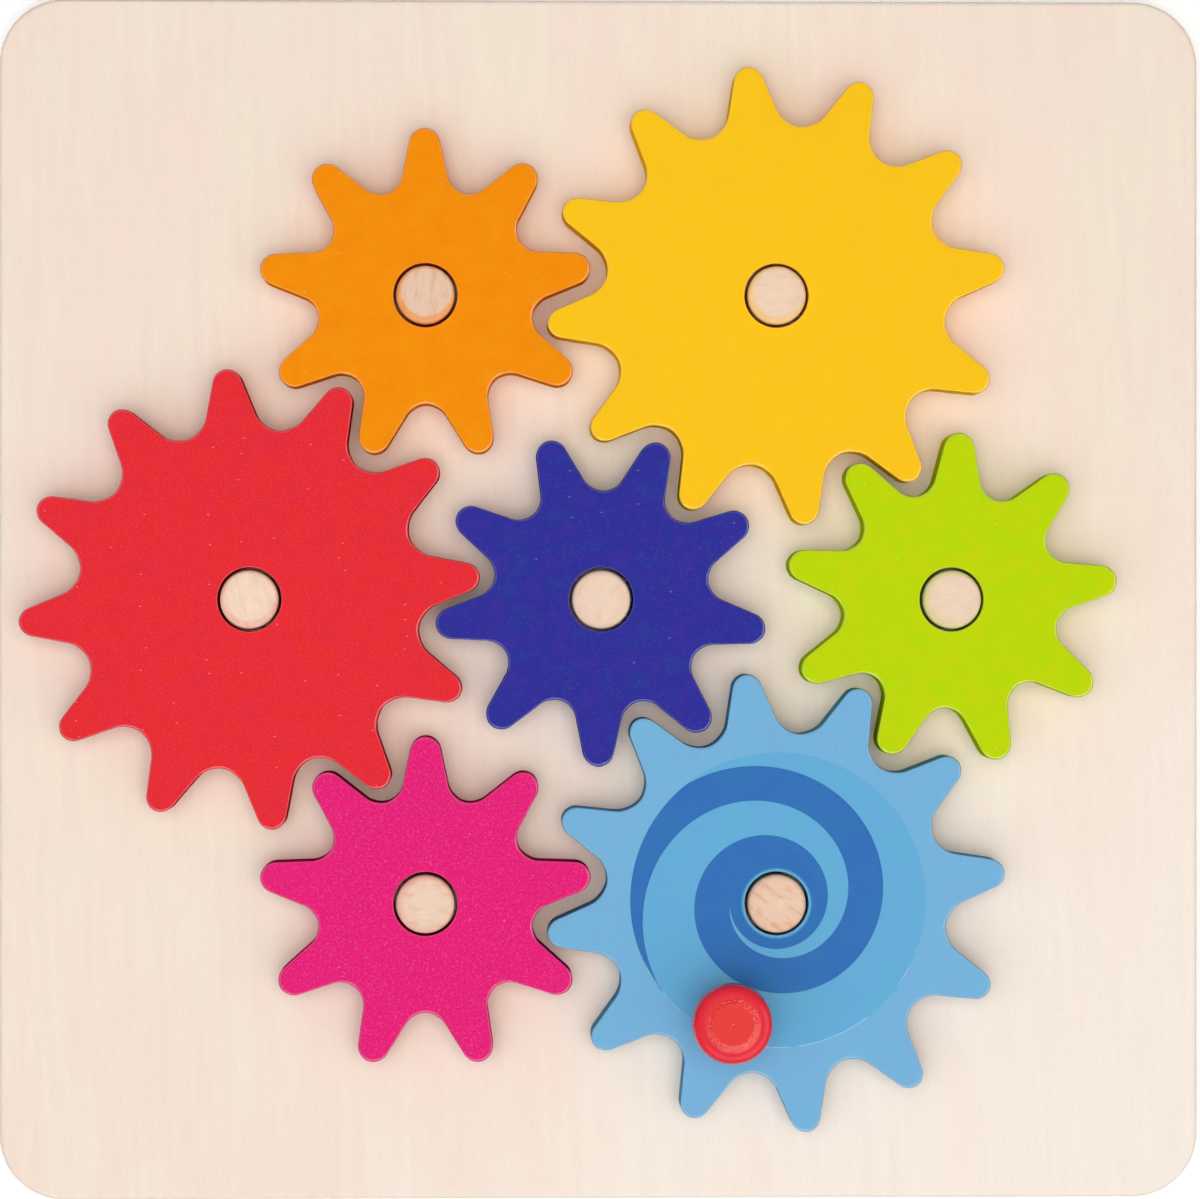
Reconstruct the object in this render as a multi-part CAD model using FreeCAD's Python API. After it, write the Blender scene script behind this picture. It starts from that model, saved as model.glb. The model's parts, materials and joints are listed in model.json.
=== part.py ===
import FreeCAD, Part
import math
import os
from collections import namedtuple

# A wooden gear board: seven loose gears stand on round pins in a square base, and one of them is
# turned by a knob. Millimetres, +Z up. The origin is the centre of the base's underside.

# Base, a rounded square of plywood
base_side = 250.0
base_thickness = 9.0
base_corner_radius = 13.5
base_edge_round = 1.0

# Pins, glued into blind sockets in the base
pin_radius = 6.0
pin_spacing = 72.5
pin_socket_depth = 6.0
pin_stand_proud = 1.5
pin_end_round = 1.2

# Gears, lying loosely on the base
gear_thickness = 10.0
gear_edge_round = 0.6
gear_floor_gap = 0.3
bore_clearance = 0.6
bore_edge_round = 0.3

# Teeth: heights and depths are counted from the rolling circle
large_teeth = 12
large_tooth_height = 6.3
large_tooth_depth = 6.1
large_tip_round = 3.0
large_flank_angle = 16.5
small_teeth = 9
small_tooth_height = 3.5
small_tooth_depth = 8.6
small_tip_round = 3.2
small_flank_angle = 12.0

# Crank: a turned knob stands on the light blue gear, on a dowel glued into both
crank_gear_angle = 7.5
crank_radius = 25.5
crank_direction = 247.2
knob_foot_radius = 5.2
knob_foot_height = 1.6
knob_waist_radius = 4.3
knob_waist_height = 5.0
knob_head_radius = 8.2
knob_head_height = 12.5
knob_top_radius = 4.0
knob_top_round = 1.0
knob_height = 19.0
dowel_radius = 3.0
dowel_in_gear = 7.0
dowel_in_knob = 9.0

full_turn = 360.0
quarter_turn = full_turn / 4
triangle_corner = full_turn / 6
height_tolerance = 0.0001
up = FreeCAD.Vector(0, 0, 1)
gear_bottom = base_thickness + gear_floor_gap
gear_top = gear_bottom + gear_thickness
row_step = pin_spacing * math.sin(math.radians(triangle_corner))
rolling_radius_per_tooth = pin_spacing / (large_teeth + small_teeth)

ToothForm = namedtuple("ToothForm", "teeth pitch outer root tip_round gap_round flank_angle")
GearPlace = namedtuple("GearPlace", "form across rows driver rest_play")


def tooth_form(teeth, height, depth, tip_round, flank_angle):
    """The radii of a gear of one size, with its gaps round and tangent to both flanks."""
    rolling = teeth * rolling_radius_per_tooth
    outer = rolling + height
    root = rolling - depth
    flank = math.radians(flank_angle)
    lean = math.sin(flank + math.pi / teeth)
    gap_round = (root * lean - tip_round - (outer - tip_round) * math.sin(flank)) / (1 - lean)
    return ToothForm(teeth, full_turn / teeth, outer, root, tip_round, gap_round, flank_angle)


LARGE = tooth_form(large_teeth, large_tooth_height, large_tooth_depth, large_tip_round, large_flank_angle)
SMALL = tooth_form(small_teeth, small_tooth_height, small_tooth_depth, small_tip_round, small_flank_angle)

# Each gear: its form, its place in half pin spacings across and rows up, the gear that drives it, and
# how far it rests turned within the play of its teeth, in degrees. The pins stand in a triangular grid.
CRANK_GEAR = "light_blue_crank_gear"
GEARS = {
    CRANK_GEAR: GearPlace(LARGE, 1, -1, None, 0.3),
    "dark_blue_gear": GearPlace(SMALL, 0, 0, CRANK_GEAR, -1.0),
    "green_gear": GearPlace(SMALL, 2, 0, CRANK_GEAR, -3.0),
    "magenta_gear": GearPlace(SMALL, -1, -1, CRANK_GEAR, 0.0),
    "yellow_gear": GearPlace(LARGE, 1, 1, "dark_blue_gear", -0.1),
    "red_gear": GearPlace(LARGE, -2, 0, "dark_blue_gear", -1.6),
    "orange_gear": GearPlace(SMALL, -1, 1, "yellow_gear", 0.3),
}


def polar(radius, degrees):
    angle = math.radians(degrees)
    return FreeCAD.Vector(radius * math.cos(angle), radius * math.sin(angle), 0)


def gear_centre(name):
    """The point on the base's underside below a gear's centre."""
    place = GEARS[name]
    return FreeCAD.Vector(place.across * pin_spacing / 2, place.rows * row_step, 0)


def mesh_turn(name):
    """Where a gear's first tooth points when its teeth stand midway in the gaps of its driver."""
    place = GEARS[name]
    if place.driver is None:
        return crank_gear_angle
    line = gear_centre(name) - gear_centre(place.driver)
    direction = math.degrees(math.atan2(line.y, line.x))
    teeth_before_line = (direction - mesh_turn(place.driver)) / GEARS[place.driver].form.pitch
    half_tooth = 0.5
    return direction + full_turn / 2 + place.form.pitch * (teeth_before_line + half_tooth)


def tooth_flank(form, middle, side):
    """Where one straight flank of the tooth at an angle starts at the tip and ends at the gap."""
    out_of_flank = polar(1, middle + side * (quarter_turn - form.flank_angle))
    tip_centre = polar(form.outer - form.tip_round, middle)
    gap_centre = polar(form.root + form.gap_round, middle + side * form.pitch / 2)
    return tip_centre + out_of_flank * form.tip_round, gap_centre - out_of_flank * form.gap_round


def gear_outline(form, turn):
    """Round tips and round gaps, joined by straight flanks."""
    edges = []
    for tooth in range(form.teeth):
        middle = turn + tooth * form.pitch
        tip_before, gap_before = tooth_flank(form, middle, -1)
        tip_after, gap_after = tooth_flank(form, middle, 1)
        gap_end = tooth_flank(form, middle + form.pitch, -1)[1]
        valley = polar(form.root, middle + form.pitch / 2)
        edges.append(Part.LineSegment(gap_before, tip_before).toShape())
        edges.append(Part.Arc(tip_before, polar(form.outer, middle), tip_after).toShape())
        edges.append(Part.LineSegment(tip_after, gap_after).toShape())
        edges.append(Part.Arc(gap_after, valley, gap_end).toShape())
    return Part.Wire(edges)


def rims(solid, low, high):
    """The edges that lie flat at either of two heights."""
    return [edge for edge in solid.Edges if lies_at(edge, low) or lies_at(edge, high)]


def lies_at(edge, height):
    box = edge.BoundBox
    return max(abs(box.ZMin - height), abs(box.ZMax - height)) < height_tolerance


def gear(name):
    """A toothed disc with softened edges and a loose bore for its pin."""
    place = GEARS[name]
    outline = gear_outline(place.form, mesh_turn(name) + place.rest_play)
    disc = Part.Face(outline).extrude(up * gear_thickness)
    disc = disc.makeFillet(gear_edge_round, rims(disc, 0, gear_thickness))
    disc = disc.cut(Part.makeCylinder(pin_radius + bore_clearance, gear_thickness))
    mouths = [edge for edge in rims(disc, 0, gear_thickness) if edge.isClosed()]
    disc = disc.makeFillet(bore_edge_round, mouths)
    disc.translate(gear_centre(name) + up * gear_bottom)
    return disc


def crank_gear():
    """The gear that is turned by hand, with a blind socket for the knob's dowel."""
    socket = Part.makeCylinder(dowel_radius, dowel_in_gear, crank_point() - up * dowel_in_gear)
    return gear(CRANK_GEAR).cut(socket)


def crank_point():
    """The middle of the knob's foot, on top of the crank gear."""
    return gear_centre(CRANK_GEAR) + polar(crank_radius, crank_direction) + up * gear_top


def base_board():
    """A square slab with round corners, soft edges and a blind socket for each pin."""
    corner = FreeCAD.Vector(-base_side / 2, -base_side / 2, 0)
    board = Part.makeBox(base_side, base_side, base_thickness, corner)
    uprights = [edge for edge in board.Edges if edge.BoundBox.ZLength > base_thickness / 2]
    board = board.makeFillet(base_corner_radius, uprights)
    board = board.makeFillet(base_edge_round, rims(board, 0, base_thickness))
    for name in GEARS:
        socket_floor = gear_centre(name) + up * (base_thickness - pin_socket_depth)
        board = board.cut(Part.makeCylinder(pin_radius, pin_socket_depth, socket_floor))
    return board


def pin(name):
    """A round pin from its socket's floor to just above the gear, with a rounded upper end."""
    foot = base_thickness - pin_socket_depth
    head = gear_top + pin_stand_proud
    dowel = Part.makeCylinder(pin_radius, head - foot, gear_centre(name) + up * foot)
    return dowel.makeFillet(pin_end_round, rims(dowel, head, head))


def curve(*poles):
    bezier = Part.BezierCurve()
    bezier.setPoles(list(poles))
    return bezier.toShape()


def knob():
    """A turned knob: a short foot, a waist, a full round head and a flat top, bored for its dowel."""
    foot_edge = FreeCAD.Vector(knob_foot_radius, 0, 0)
    foot_top = FreeCAD.Vector(knob_foot_radius, 0, knob_foot_height)
    waist = FreeCAD.Vector(knob_waist_radius, 0, knob_waist_height)
    widest = FreeCAD.Vector(knob_head_radius, 0, knob_head_height)
    top_edge = FreeCAD.Vector(knob_top_radius, 0, knob_height)
    under_head_height = (knob_waist_height + knob_head_height) / 2
    neck = curve(foot_top, FreeCAD.Vector(knob_waist_radius, 0, knob_foot_height), waist)
    under_waist = FreeCAD.Vector(knob_waist_radius, 0, under_head_height)
    under_widest = FreeCAD.Vector(knob_head_radius, 0, under_head_height)
    shoulder = FreeCAD.Vector(knob_head_radius, 0, knob_height - knob_top_round)
    middle_low = FreeCAD.Vector(0, 0, 0)
    middle_high = FreeCAD.Vector(0, 0, knob_height)
    profile = Part.Wire([
        Part.LineSegment(middle_low, foot_edge).toShape(),
        Part.LineSegment(foot_edge, foot_top).toShape(),
        neck,
        curve(waist, under_waist, under_widest, widest),
        curve(widest, shoulder, top_edge),
        Part.LineSegment(top_edge, middle_high).toShape(),
        Part.LineSegment(middle_high, middle_low).toShape(),
    ])
    turned = Part.Face(profile).revolve(middle_low, up, full_turn)
    turned = turned.makeFillet(knob_top_round, rims(turned, knob_height, knob_height))
    turned = turned.cut(Part.makeCylinder(dowel_radius, dowel_in_knob))
    turned.translate(crank_point())
    return turned


def knob_dowel():
    """A dowel glued into the crank gear and up into the knob."""
    foot = crank_point() - up * dowel_in_gear
    return Part.makeCylinder(dowel_radius, dowel_in_gear + dowel_in_knob, foot)


def write(node, shape):
    shape.exportStep("parts/" + node + ".step")


os.makedirs("parts", exist_ok=True)
write("base_board", base_board())
for name in GEARS:
    write(name, crank_gear() if name == CRANK_GEAR else gear(name))
    write(name + "_pin", pin(name))
write("crank_knob", knob())
write("crank_knob_dowel", knob_dowel())
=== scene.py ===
import json
import math
from collections import namedtuple

import bmesh
import bpy
from bpy.props import FloatProperty, FloatVectorProperty, IntProperty, PointerProperty
from bpy.types import Operator, Panel, PropertyGroup
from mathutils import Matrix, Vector
from mathutils.geometry import interpolate_bezier

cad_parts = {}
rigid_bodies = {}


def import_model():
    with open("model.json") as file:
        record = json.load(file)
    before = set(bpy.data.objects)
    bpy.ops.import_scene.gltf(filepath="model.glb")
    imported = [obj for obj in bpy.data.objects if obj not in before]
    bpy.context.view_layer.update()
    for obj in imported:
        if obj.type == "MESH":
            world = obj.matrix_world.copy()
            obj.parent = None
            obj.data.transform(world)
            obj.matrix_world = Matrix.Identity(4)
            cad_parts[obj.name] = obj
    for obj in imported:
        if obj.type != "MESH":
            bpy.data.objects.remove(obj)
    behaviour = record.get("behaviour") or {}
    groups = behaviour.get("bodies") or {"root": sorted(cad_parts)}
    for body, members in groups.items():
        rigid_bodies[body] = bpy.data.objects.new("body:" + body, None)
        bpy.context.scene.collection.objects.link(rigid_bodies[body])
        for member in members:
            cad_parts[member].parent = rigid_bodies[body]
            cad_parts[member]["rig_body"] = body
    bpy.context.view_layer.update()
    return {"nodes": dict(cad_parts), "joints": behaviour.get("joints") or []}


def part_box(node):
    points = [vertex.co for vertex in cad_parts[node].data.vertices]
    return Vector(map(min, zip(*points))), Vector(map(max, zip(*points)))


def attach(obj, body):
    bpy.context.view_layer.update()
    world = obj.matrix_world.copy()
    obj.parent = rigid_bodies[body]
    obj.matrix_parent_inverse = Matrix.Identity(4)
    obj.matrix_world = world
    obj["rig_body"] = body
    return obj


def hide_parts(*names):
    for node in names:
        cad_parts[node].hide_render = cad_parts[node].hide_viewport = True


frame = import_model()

bl_info = {
    "name": "Wooden Crank Gear Toy",
    "version": (1, 0, 0),
    "blender": (4, 5, 0),
    "location": "3D View > Sidebar > Gear Toy",
    "description": "Models and paints the wooden pieces of a crank gear toy around its solids",
    "category": "Add Mesh",
}

MM = 0.001
TOUCH = MM / 1000  # points nearer than this are one
UP = Vector((0, 0, 1))

BOARD = "base_board"
CRANK_GEAR = "light_blue_crank_gear"
KNOB = "crank_knob"
DOWEL = "crank_knob_dowel"
LARGE_GEARS = (CRANK_GEAR, "yellow_gear", "red_gear")
SMALL_GEARS = ("dark_blue_gear", "green_gear", "magenta_gear", "orange_gear")
GEARS = LARGE_GEARS + SMALL_GEARS

CENTRES = {joint["child"]: Vector((*joint["pos_m"][:2], 0)) for joint in frame["joints"]}
PIN_SPACING = (CENTRES["dark_blue_gear"] - CENTRES["green_gear"]).length
LARGE_TEETH = 12
SMALL_TEETH = 9

# How finely round forms are divided: sides of circles, steps of arcs and of softened edges, and
# points along curves of the knob
PIN_SIDES = 72
KNOB_SIDES = 96
PRINT_SIDES = 192
CORNER_STEPS = 24
ARC_STEPS = 6
BOARD_EDGE_STEPS = 5
PIN_EDGE_STEPS = 6
TOOTH_EDGE_STEPS = 4
BORE_EDGE_STEPS = 3
KNOB_EDGE_STEPS = 3
NECK_POINTS = 9
HEAD_POINTS = 15

# The sharpest turn between faces, in degrees, that is still shaded soft
SHARPEST = 40
KNOB_SHARPEST = 50


# ---------------------------------------------------------------- sizes and colours to change


def length(name, description, default):
    """A length that can be set, in metres."""
    return FloatProperty(
        name=name, description=description, default=default, min=0, unit="LENGTH", precision=5
    )


def angle(name, description, degrees):
    """An angle that can be set, with its default written in degrees."""
    return FloatProperty(
        name=name, description=description, default=math.radians(degrees), subtype="ANGLE"
    )


def shade(name, description, red, green, blue):
    """A colour as it looks on a screen, each part from 0 to 255."""
    return FloatVectorProperty(
        name=name,
        description=description,
        default=(red / 255, green / 255, blue / 255),
        size=3,
        min=0,
        max=1,
        subtype="COLOR_GAMMA",
    )


class BoardSettings(PropertyGroup):
    corner_radius: length("Corner radius", "Radius of the four upright corners", 13.5 * MM)
    edge_round: length("Edge round", "Softened edge all round, above and below", 1.0 * MM)
    socket_depth: length("Socket depth", "Depth of the holes that hold the pins", 6.0 * MM)
    ply_count: IntProperty(
        name="Plies", description="Layers of veneer in the board", default=7, min=3
    )
    rosy: shade("Rosy veneer", "Pinker patches of the face veneer", 247, 226, 211)
    straw: shade("Straw veneer", "Yellower patches of the face veneer", 245, 230, 212)
    # The pale veneer is painted light: the face turns paler towards the lamps' side
    pale: shade("Pale veneer", "Lighter side of the face veneer", 250, 238, 227)
    fibre: shade("Fibres", "Short dark fibres in the face veneer", 228, 202, 180)
    cross_ply: shade("Cross plies", "End grain of every other ply", 214, 180, 140)
    glue: shade("Glue lines", "Dark glue between the plies", 168, 124, 84)


class PinSettings(PropertyGroup):
    end_round: length("End round", "Rounding of the pin's upper end", 0.9 * MM)
    end_grain: shade("End grain", "Sanded end of the dowel", 243, 216, 194)
    ring: shade("Rings", "Darker growth lines in the end grain", 226, 168, 124)


class GearSettings(PropertyGroup):
    large_tooth_height: length("Large tooth height", "From the rolling circle to the tip", 6.3 * MM)
    large_tooth_depth: length("Large tooth depth", "From the rolling circle to the gap", 6.1 * MM)
    large_tip_round: length("Large tip round", "Radius of the tooth tips", 3.0 * MM)
    large_flank: angle("Large flank", "Slope of the flanks to the tooth's middle", 16.5)
    small_tooth_height: length("Small tooth height", "From the rolling circle to the tip", 3.5 * MM)
    small_tooth_depth: length("Small tooth depth", "From the rolling circle to the gap", 8.6 * MM)
    small_tip_round: length("Small tip round", "Radius of the tooth tips", 3.2 * MM)
    small_flank: angle("Small flank", "Slope of the flanks to the tooth's middle", 12.0)
    edge_round: length("Edge round", "Softened edge of the gears", 0.6 * MM)
    bore_clearance: length("Bore clearance", "Space round a pin in its gear", 0.6 * MM)
    bore_round: length("Bore edge round", "Softened edge of the bore", 0.3 * MM)


class PaintSettings(PropertyGroup):
    light_blue: shade("Light blue", "Paint of the crank gear", 119, 180, 221)
    yellow: shade("Yellow", "Paint of the yellow gear", 255, 199, 24)
    red: shade("Red", "Paint of the red gear", 233, 43, 54)
    dark_blue: shade("Dark blue", "Paint of the dark blue gear", 46, 46, 154)
    green: shade("Green", "Paint of the green gear", 191, 218, 0)
    magenta: shade("Magenta", "Paint of the magenta gear", 232, 30, 121)
    orange: shade("Orange", "Paint of the orange gear", 248, 144, 0)


class PrintSettings(PropertyGroup):
    radius: length("Disc radius", "Outer edge of the printed disc", 30.55 * MM)
    # The bright ring round the bore is a painted highlight along the bore's edge; light fibres and
    # specks in the ink take its colour too
    rim: length("Rim radius", "Outer edge of the bright ring round the bore", 7.35 * MM)
    hole: length("Hole radius", "Inner edge of the print", 6.95 * MM)
    film: length("Ink film", "Height of the ink above the gear", 0.03 * MM)
    band: shade("Band", "Dark spiral band", 54, 115, 185)
    disc: shade("Disc", "Lighter ink between the bands", 102, 175, 218)
    ring: shade("Ring", "Bright ring round the bore", 68, 162, 207)
    margin: shade("Margin", "Pale line along the disc's edge", 176, 216, 240)


class KnobSettings(PropertyGroup):
    foot_height: length("Foot height", "Straight foot on the gear", 1.6 * MM)
    waist_radius: length("Waist radius", "Thinnest place", 4.3 * MM)
    waist_height: length("Waist height", "Where the knob is thinnest", 5.0 * MM)
    head_height: length("Head height", "Where the head is widest", 12.5 * MM)
    foot_radius: length("Foot radius", "Radius of the foot", 5.2 * MM)
    top_radius: length("Top radius", "Radius of the flat top", 4.3 * MM)
    step_width: length("Step width", "Sloping ring round the flat top", 1.0 * MM)
    step_height: length("Step height", "How far the ring drops", 0.4 * MM)
    shoulder_drop: length("Shoulder drop", "How far the shoulder slopes down to the rim", 0.2 * MM)
    fullness: FloatProperty(
        name="Fullness", description="How full the crown is", default=0.95, min=0.3, max=1
    )
    top_soft: length("Top edge", "Softened edge of the flat top", 0.25 * MM)
    pip_radius: length("Pip radius", "Lathe mark in the middle of the top", 0.3 * MM)
    pip_depth: length("Pip depth", "Depth of the lathe mark", 0.12 * MM)
    lacquer: shade("Lacquer", "Gloss lacquer of the knob", 237, 50, 47)
    # Painted shade: a darker, pinker lacquer colour on the shoulder, where the crown turns down
    shoulder_shade: shade("Shoulder", "Deeper lacquer on the shoulder", 228, 40, 68)


class StageSettings(PropertyGroup):
    camera_height: length("Camera height", "Above the board's face", 950 * MM)
    camera_left: length("Camera left", "How far the camera stands left of the middle", 22 * MM)
    camera_near: length("Camera near", "How far the camera stands nearer than the middle", 0)
    frame_width: length("Frame width", "Width in view, at the board's face", 250.4 * MM)
    sky: FloatProperty(name="Sky", description="Light from all round", default=0.15, min=0)
    paper: shade("Paper", "Floor under the toy", 252, 252, 252)
    glow: FloatProperty(
        name="Paper glow", description="Light it adds for the camera only", default=0.20, min=0
    )


SETTINGS = {
    "toy_board": BoardSettings,
    "toy_pins": PinSettings,
    "toy_gears": GearSettings,
    "toy_paints": PaintSettings,
    "toy_print": PrintSettings,
    "toy_knob": KnobSettings,
    "toy_stage": StageSettings,
}


# ---------------------------------------------------------------- modelling by hand


def clear_selection():
    if bpy.context.object and bpy.context.object.mode != "OBJECT":
        bpy.ops.object.mode_set(mode="OBJECT")
    bpy.ops.object.select_all(action="DESELECT")


def select_only(piece):
    clear_selection()
    piece.select_set(True)
    bpy.context.view_layer.objects.active = piece


def edit(piece):
    select_only(piece)
    bpy.ops.object.mode_set(mode="EDIT")


def leave_edit():
    bpy.ops.object.mode_set(mode="OBJECT")


def pick(piece, kind, test):
    """Selects the verts, edges or faces of a piece in edit mode that pass a test."""
    bpy.context.tool_settings.mesh_select_mode = (kind == "verts", kind == "edges", kind == "faces")
    bpy.ops.mesh.select_all(action="DESELECT")
    mesh = bmesh.from_edit_mesh(piece.data)
    chosen = [part for part in getattr(mesh, kind) if test(part)]
    if not chosen:
        raise RuntimeError("nothing to select on " + piece.name)
    for part in chosen:
        part.select_set(True)
    mesh.select_flush_mode()
    bmesh.update_edit_mesh(piece.data)


def level(*heights):
    """A test for edges or faces that lie flat at one of some heights."""

    def lies_flat(part):
        places = [vert.co.z for vert in part.verts]
        return any(all(abs(place - height) < TOUCH for place in places) for height in heights)

    return lies_flat


def settle(piece):
    """Moves the piece's place, turn and scale into its mesh."""
    select_only(piece)
    bpy.ops.object.transform_apply(location=True, rotation=True, scale=True)


def copy_of(piece):
    """A piece of its own with the same mesh."""
    select_only(piece)
    bpy.ops.object.duplicate(linked=False)
    return bpy.context.object


def smooth(piece, sharpest=SHARPEST):
    """Soft shading over the rounded edges, while the large faces stay flat."""
    select_only(piece)
    bpy.ops.object.shade_smooth_by_angle(angle=math.radians(sharpest))
    weights = piece.modifiers.new("Flat faces", "WEIGHTED_NORMAL")
    weights.keep_sharp = True
    bpy.ops.object.modifier_apply(modifier=weights.name)


def cut_away(piece, cutter):
    """Cuts the shape of another piece out, and deletes that piece."""
    select_only(piece)
    cut = piece.modifiers.new("Cut", "BOOLEAN")
    cut.operation = "DIFFERENCE"
    cut.solver = "EXACT"
    cut.object = cutter
    bpy.ops.object.modifier_apply(modifier=cut.name)
    delete(cutter)


def delete(piece):
    select_only(piece)
    bpy.ops.object.delete()


def add_loop(sides, radius, place):
    """Adds a flat loop of points to what is being edited, and selects only it."""
    bpy.ops.mesh.select_all(action="DESELECT")
    bpy.ops.mesh.primitive_circle_add(vertices=sides, radius=radius, location=place)


def bridge_and_raise(thickness):
    """Fills the ring between two loops, and makes it a body with its faces outwards."""
    bpy.ops.mesh.select_all(action="SELECT")
    bpy.ops.mesh.bridge_edge_loops()
    bpy.ops.mesh.select_all(action="SELECT")
    bpy.ops.mesh.extrude_region_move(TRANSFORM_OT_translate={"value": UP * thickness})
    face_outwards()


def face_outwards():
    bpy.ops.mesh.select_all(action="SELECT")
    bpy.ops.mesh.normals_make_consistent(inside=False)


def hand_over(piece, name, node, material):
    """The finished piece takes the place of a CAD node, which is hidden: it gets the material and
    rides on that node's body.
    """
    piece.name = name
    piece.data.name = name
    piece.data.materials.clear()
    piece.data.materials.append(material)
    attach(piece, frame["nodes"][node]["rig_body"])
    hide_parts(node)


# ---------------------------------------------------------------- mixing materials


def linear(colour):
    """A screen colour as the shader counts it."""
    parts = [
        part / 12.92 if part <= 0.04045 else ((part + 0.055) / 1.055) ** 2.4 for part in colour
    ]
    return (*parts, 1)


# Sockets of the Mix node for colours
MIX_FACTOR, MIX_A, MIX_B, MIX_RESULT = 0, 6, 7, 2

# What shows in paint and ink, by size
MOTTLE_SIZE = 0.35 * MM
FIBRE_CURL = 0.8 * MM
FIBRE_WIDTH = 0.04 * MM
SPECK_SPACING = 3.4 * MM
SPECK_RADIUS = 0.2 * MM
SPECK_STRETCH = 2

# How far the relief of wood, paint and paper stands out, and how strongly bare wood or paper and
# paint or ink mirror
RELIEF = 0.02 * MM
MATT_GLOSS = 0.1
PAINT_GLOSS = 0.02


class Recipe:
    """A material or a sky being mixed. Each method adds a node, and hands back its output."""

    def __init__(self, made, shader="Principled BSDF"):
        made.use_nodes = True
        self.made = made
        self.nodes = made.node_tree.nodes
        self.links = made.node_tree.links
        self.shader = self.nodes[shader]
        self.here = self.node("TexCoord").outputs

    def node(self, kind, inputs=None, **settings):
        made = self.nodes.new("ShaderNode" + kind)
        for setting, value in settings.items():
            setattr(made, setting, value)
        for socket, value in (inputs or {}).items():
            self.feed(made.inputs[socket], value)
        return made

    def feed(self, socket, value):
        if isinstance(value, bpy.types.NodeSocket):
            self.links.new(value, socket)
        else:
            socket.default_value = value

    def set(self, **inputs):
        """Sets the shader's inputs, written with _ for a space."""
        for socket, value in inputs.items():
            self.feed(self.shader.inputs[socket.replace("_", " ")], value)

    def point(self, size, centre=(0, 0, 0), turn=0):
        """The place on the piece, counted from a centre along turned axes in steps of a size.

        The size is one length for all three axes, or one for each.
        """
        inputs = {
            "Vector": self.here["Object"],
            "Location": centre,
            "Rotation": (0, 0, turn),
            "Scale": size if isinstance(size, tuple) else (size, size, size),
        }
        return self.node("Mapping", inputs, vector_type="TEXTURE").outputs["Vector"]

    def noise(self, size, detail=2, roughness=0.5, centre=(0, 0, 0), turn=0):
        """Clouds of about a size, from 0 to 1 and mostly near 0.5."""
        inputs = {
            "Vector": self.point(size, centre, turn),
            "Scale": 1,
            "Detail": detail,
            "Roughness": roughness,
        }
        return self.node("TexNoise", inputs).outputs["Fac"]

    def mottle(self):
        """The fine grain of paint and ink."""
        return self.noise(MOTTLE_SIZE, roughness=0.7)

    def fibres(self):
        """Short curly lines, 1 in their middles, like fibres caught in paint."""
        wander = self.math("SUBTRACT", self.noise(FIBRE_CURL, detail=1), 0.5)
        lines = self.rise(self.math("ABSOLUTE", wander), FIBRE_WIDTH / FIBRE_CURL, 0)
        pieces = self.noise(0.8 * FIBRE_CURL, detail=1, centre=(50 * FIBRE_CURL, 0, 0))
        return self.times(lines, self.rise(pieces, 0.42, 0.58))

    def specks(self, share):
        """Small dots, 1 in their middles, in a share of the cells of a grid."""
        size = (SPECK_SPACING * SPECK_STRETCH, SPECK_SPACING, SPECK_SPACING)
        grid = {"Vector": self.point(size), "Scale": 1}
        cells = self.node("TexVoronoi", grid, voronoi_dimensions="2D").outputs
        luck = self.node("SeparateColor", {"Color": cells["Color"]}).outputs["Red"]
        dots = self.rise(cells["Distance"], SPECK_RADIUS / SPECK_SPACING, 0)
        return self.times(self.math("LESS_THAN", luck, share), dots)

    def away(self, centre):
        """Millimetres from an upright axis."""
        place = self.axes(self.point(MM, centre))
        square = self.plus(self.math("POWER", place["X"], 2), self.math("POWER", place["Y"], 2))
        return self.math("SQRT", square)

    def plies(self, node, count):
        """Height on a piece, counted from its underside in plies of one thickness."""
        low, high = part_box(node)
        return self.axes(self.point((high.z - low.z) / count, (0, 0, low.z)))["Z"]

    def math(self, operation, first, second=0):
        return self.node("Math", {0: first, 1: second}, operation=operation).outputs[0]

    def times(self, first, second):
        return self.math("MULTIPLY", first, second)

    def plus(self, first, second):
        return self.math("ADD", first, second)

    def rise(self, value, low, high):
        """0 up to low, 1 from high, and smooth between them."""
        if low > high:
            return self.math("SUBTRACT", 1, self.rise(value, high, low))
        inputs = {"Value": value, "From Min": low, "From Max": high}
        return self.node("MapRange", inputs, interpolation_type="SMOOTHSTEP").outputs["Result"]

    def spread(self, value, low, high):
        """Noise laid out between two values."""
        inputs = {"Value": value, "From Min": 0.3, "From Max": 0.7, "To Min": low, "To Max": high}
        return self.node("MapRange", inputs).outputs["Result"]

    def mix(self, factor, first, second):
        """The first colour where the factor is 0, the second where it is 1."""
        inputs = {MIX_FACTOR: factor, MIX_A: first, MIX_B: second}
        return self.node("Mix", inputs, data_type="RGBA").outputs[MIX_RESULT]

    def vary(self, colour, noise, amount, hue=0):
        """The colour made lighter and darker, and turned in hue, by up to an amount."""
        inputs = {"Color": colour, "Value": self.spread(noise, 1 - amount, 1 + amount)}
        if hue:
            inputs["Hue"] = self.spread(noise, 0.5 - hue, 0.5 + hue)
        return self.node("HueSaturation", inputs).outputs["Color"]

    def axes(self, vector):
        return self.node("SeparateXYZ", {"Vector": vector}).outputs

    def upward(self):
        """1 on faces that look up or down, 0 on walls."""
        return self.math("ABSOLUTE", self.axes(self.here["Normal"])["Z"])

    def bump(self, height, distance):
        """Relief in which a height of 1 stands a distance out."""
        return self.node("Bump", {"Height": height, "Distance": distance}).outputs["Normal"]


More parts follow.
